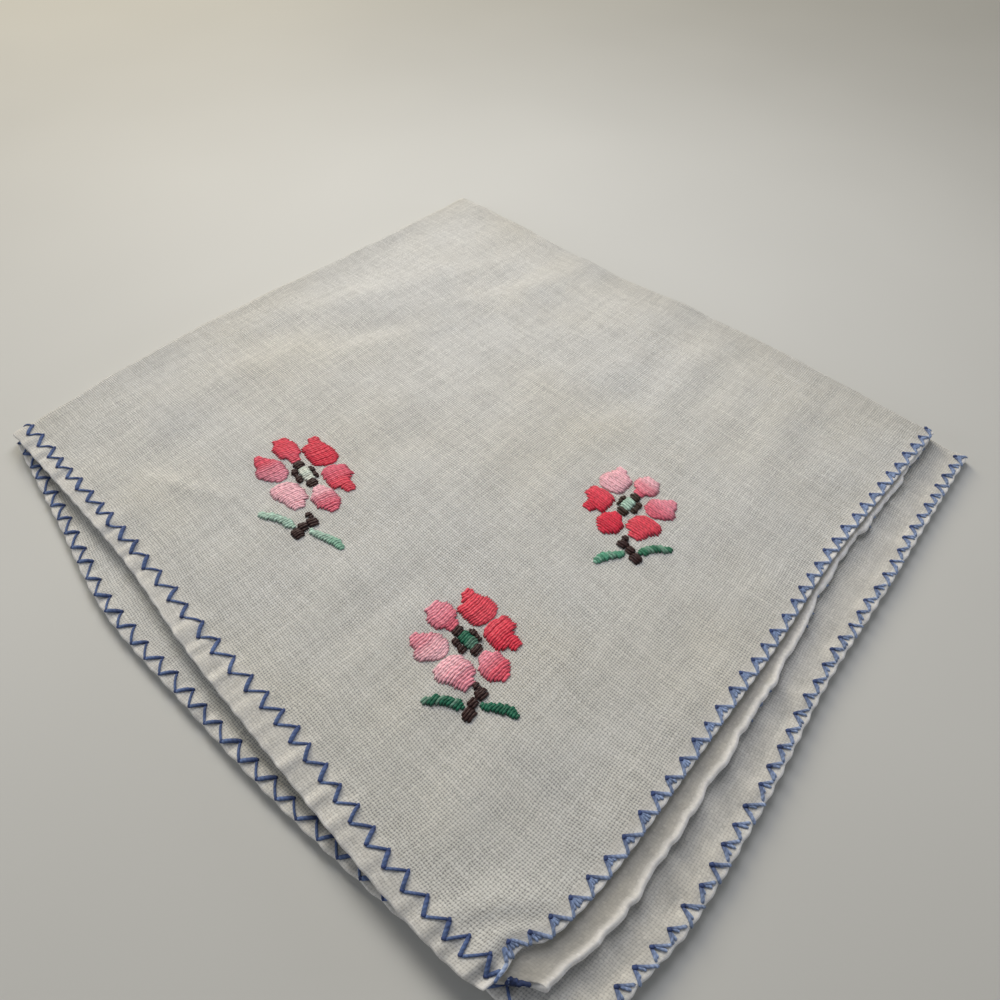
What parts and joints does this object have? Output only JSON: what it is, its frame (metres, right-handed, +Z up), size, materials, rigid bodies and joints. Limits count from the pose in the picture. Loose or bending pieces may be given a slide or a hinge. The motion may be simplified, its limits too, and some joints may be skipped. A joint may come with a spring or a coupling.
{
  "type": "folded linen handkerchief",
  "caption": "Square linen handkerchief folded in four and lying flat, with a zigzag-stitched hem and flowers worked in satin stitch at one corner.",
  "frame": {"origin": "middle of the footprint, on the surface that the cloth lies on", "axes": "+Z up through the pile of layers; the hemmed edges lie at -X and -Y, the creases at +X and +Y, and the four hemmed corners meet at -X -Y"},
  "size_m": [0.152, 0.1654, 0.0068],
  "materials": {
    "white_linen": "washed plain weave linen",
    "blue_hem_thread": "matt twisted cotton thread",
    "pink_embroidery_thread": "stranded cotton with a soft sheen",
    "green_embroidery_thread": "stranded cotton with a soft sheen",
    "brown_embroidery_thread": "stranded cotton with a soft sheen"
  },
  "bodies": {
    "root": {"handkerchief_cloth": "white_linen"}
  },
  "joints": []
}
